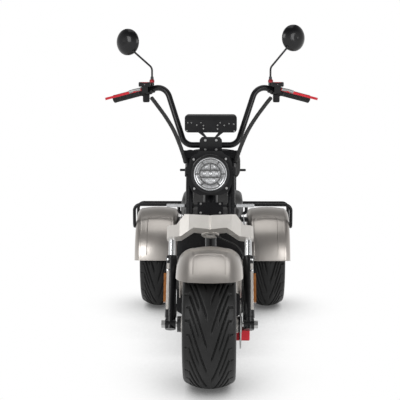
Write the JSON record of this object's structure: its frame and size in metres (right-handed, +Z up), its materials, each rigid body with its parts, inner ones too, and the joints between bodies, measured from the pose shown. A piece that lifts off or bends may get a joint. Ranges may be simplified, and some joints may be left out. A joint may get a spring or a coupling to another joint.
{
  "type": "electric tricycle",
  "caption": "Electric tricycle with a wide raked front wheel, high handlebar, round headlight, silver fork crown, champagne fenders and black grab rails",
  "frame": {"origin": "On the floor, at the bottom centre of the bounding box, between the front wheel and the rear axle.", "axes": "Front faces -Y, +X is the rider's left, +Z is up."},
  "size_m": [0.8824, 1.906, 1.372],
  "materials": {
    "tyre": "matt",
    "rim_black": "satin",
    "steel": "brushed",
    "chrome": "polished",
    "crown_silver": "satin",
    "fender_champagne": "metallic satin",
    "frame_black": "gloss",
    "black_plastic": "matt",
    "gloss_black": "gloss",
    "red_anodised": "anodised",
    "lens_clear": "clear",
    "mirror_glass": "polished",
    "amber": "translucent",
    "tail_red": "translucent",
    "grip_rubber": "matt",
    "seat_leather": "satin",
    "deck_rubber": "ribbed",
    "hose_rubber": "matt"
  },
  "bodies": {
    "chassis": {"main_frame": "frame_black", "floor_pan": "black_plastic", "battery": "black_plastic", "footboard": "deck_rubber", "body_shell": "gloss_black", "backrest": "seat_leather", "backrest_frame": "frame_black", "rear_swingarm": "frame_black", "rear_axle_housing": "frame_black", "drive_motor": "crown_silver", "rear_shocks": "chrome", "rear_fender_left": "fender_champagne", "rear_fender_right": "fender_champagne", "grab_rail_left": "frame_black", "grab_rail_right": "frame_black", "tail_light": "tail_red", "rear_signals": "amber", "plate_holder": "black_plastic"},
    "steering": {"fork_crown": "crown_silver", "steering_stem": "steel", "fork_tubes": "chrome", "fork_sliders": "frame_black", "front_axle": "steel", "front_caliper": "red_anodised", "front_fender": "fender_champagne", "fork_reflectors": "amber", "headlight_housing": "gloss_black", "headlight_lens": "lens_clear", "headlight_bracket": "frame_black", "front_signals": "amber", "signal_bracket": "frame_black", "bar_clamp": "frame_black", "display_housing": "black_plastic", "display_arms": "frame_black", "handlebar": "frame_black", "grips": "grip_rubber", "master_cylinders": "gloss_black", "brake_levers": "red_anodised", "switch_blocks": "black_plastic", "riser_tubes": "frame_black", "mirrors": "gloss_black", "mirror_glasses": "mirror_glass", "cable_looms": "hose_rubber", "brake_hose": "hose_rubber"},
    "front_wheel": {"front_tyre": "tyre", "front_rim": "rim_black", "front_disc": "steel"},
    "rear_wheel_left": {"rear_tyre_left": "tyre", "rear_rim_left": "rim_black"},
    "rear_wheel_right": {"rear_tyre_right": "tyre", "rear_rim_right": "rim_black"},
    "seat_lid": {"seat_pan": "black_plastic", "seat": "seat_leather"}
  },
  "joints": [
    {"name": "steering", "type": "hinge", "parent": "chassis", "child": "steering", "pos_m": [0, -0.48189, 0.59917], "axis": [0, 0.4617, 0.887], "range_deg": [-38, 38]},
    {"name": "front_wheel", "type": "hinge", "parent": "steering", "child": "front_wheel", "pos_m": [0, -0.715, 0.238], "axis": [1, 0, 0], "continuous": true},
    {"name": "rear_wheel_left", "type": "hinge", "parent": "chassis", "child": "rear_wheel_left", "pos_m": [0.275, 0.685, 0.238], "axis": [1, 0, 0], "continuous": true},
    {"name": "rear_wheel_right", "type": "hinge", "parent": "chassis", "child": "rear_wheel_right", "pos_m": [-0.275, 0.685, 0.238], "axis": [1, 0, 0], "continuous": true},
    {"name": "seat_lid", "type": "hinge", "parent": "chassis", "child": "seat_lid", "pos_m": [0, 0.041, 0.5133], "axis": [1, 0, 0], "range_deg": [0, 60]}
  ]
}
